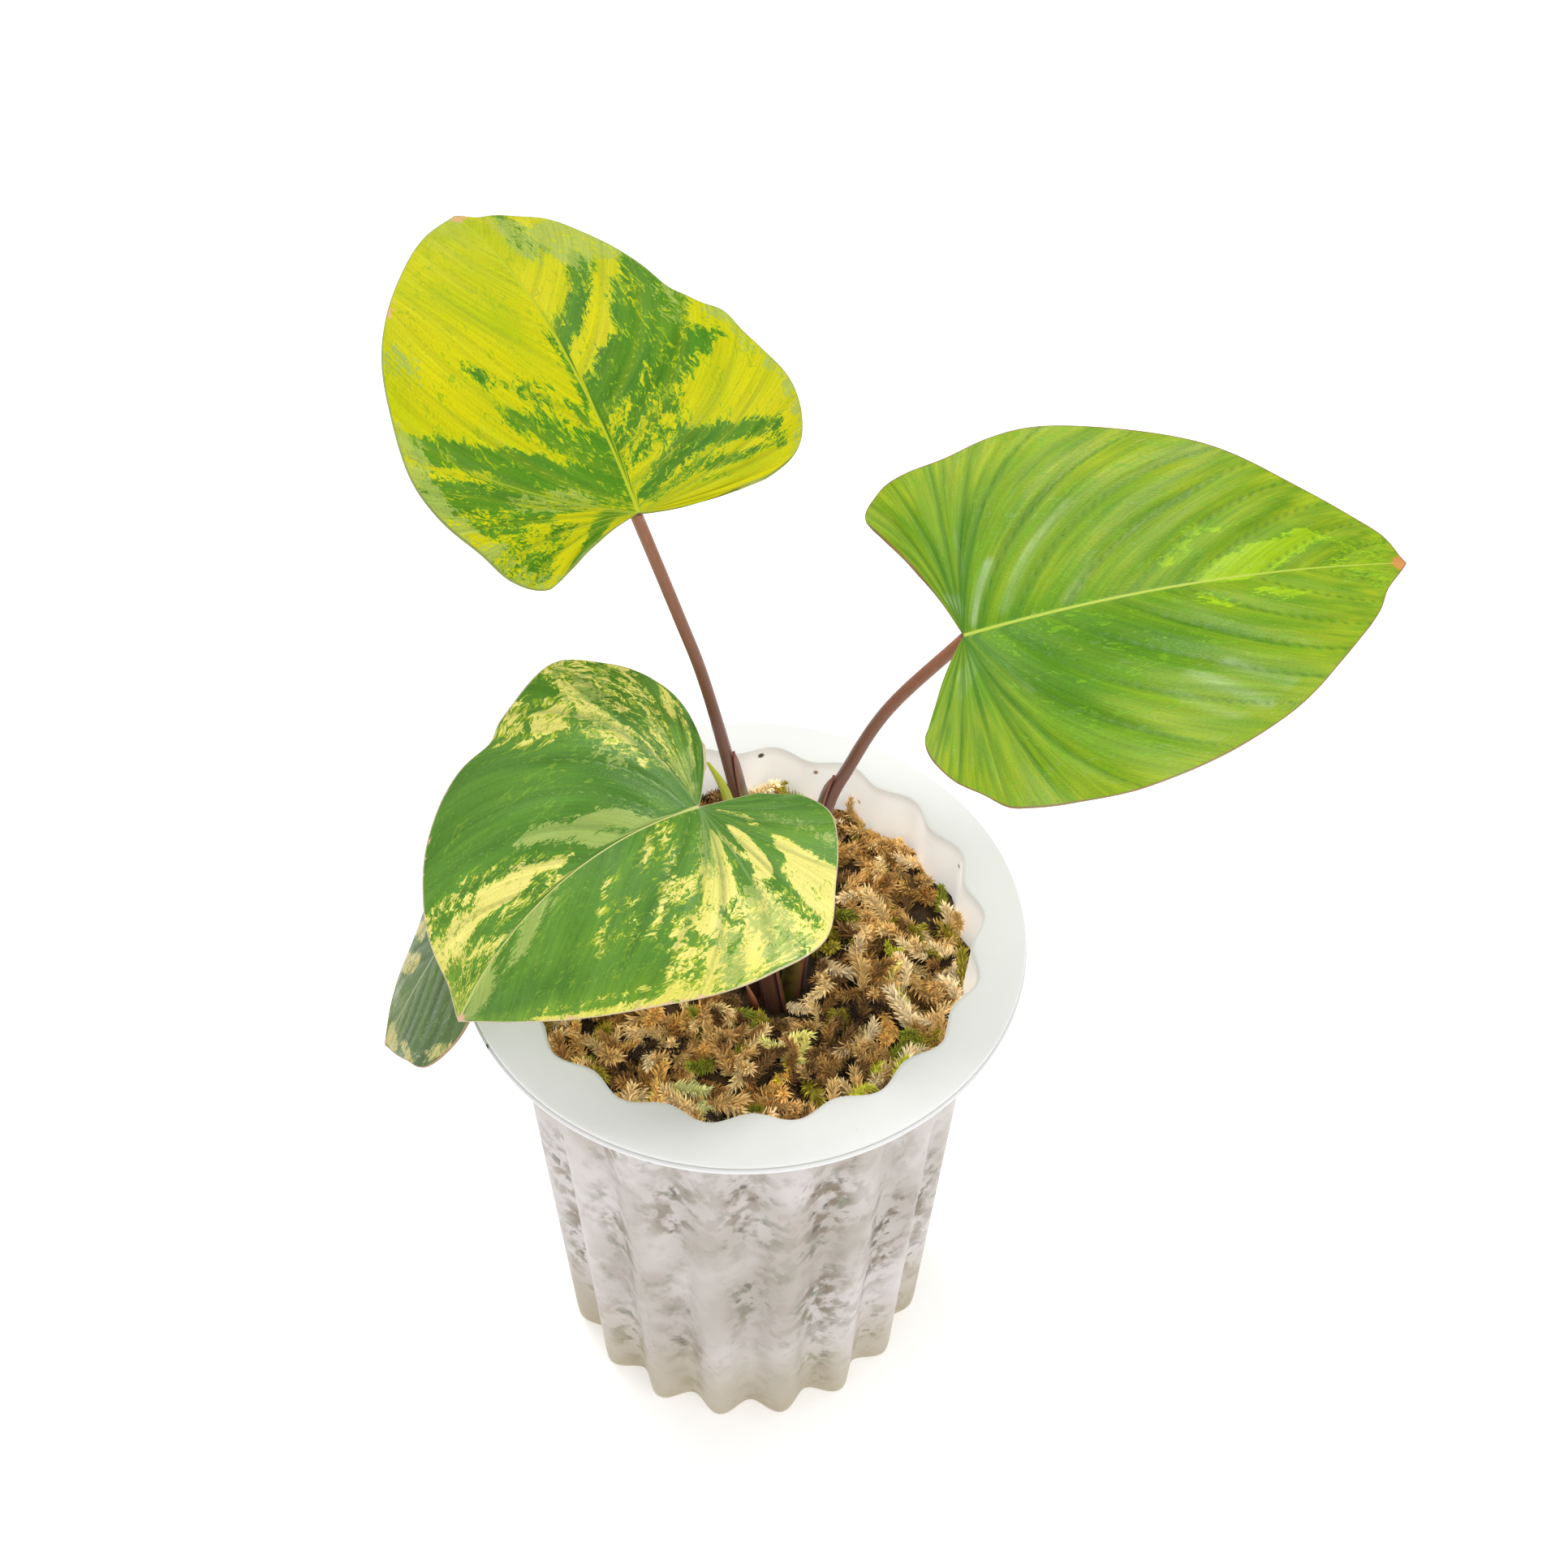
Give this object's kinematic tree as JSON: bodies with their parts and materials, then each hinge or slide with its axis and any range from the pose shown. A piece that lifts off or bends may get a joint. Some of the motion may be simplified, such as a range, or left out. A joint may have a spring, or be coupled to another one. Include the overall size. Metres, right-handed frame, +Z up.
{
  "type": "potted homalomena",
  "caption": "Small variegated house plant with heart-shaped leaves on long stalks, growing in moss in a fluted clear-white nursery pot.",
  "frame": {"origin": "middle of the pot's flat underside, on the surface that the pot stands on", "axes": "+Z up along the pot's axis; the picture is taken from the -Y side, with +X to the right"},
  "size_m": [0.2564, 0.1957, 0.328],
  "materials": {
    "pot_plastic": "translucent clear-white moulded polypropylene, softly glossy, with the moss showing through as blurred grey and brown spots",
    "moss": "long-fibre sphagnum, tan, brown and cream with green tips, matte",
    "crown": "dark brown short stem with root stubs, matte",
    "stalk": "smooth red-brown leaf stalk, satin",
    "leaf_yellow": "waxy blade, yellow with green patches, satin",
    "leaf_green": "waxy green blade with yellow-green between the veins, satin",
    "leaf_cream": "waxy dark green blade with cream patches and speckle, satin",
    "leaf_grey": "waxy grey-green blade with yellow margins, satin",
    "shoot": "rolled new blade, yellow-green, satin",
    "scale_leaf": "small pink-orange scale leaf, satin"
  },
  "bodies": {
    "root": {"pot": "pot_plastic", "moss_bed": "moss", "crown": "crown", "stalk_back": "stalk", "stalk_right": "stalk", "stalk_front": "stalk", "stalk_left": "stalk", "blade_back": "leaf_yellow", "blade_right": "leaf_green", "blade_front": "leaf_cream", "blade_left": "leaf_grey", "new_shoot": "shoot", "scale_leaf": "scale_leaf"}
  },
  "joints": []
}
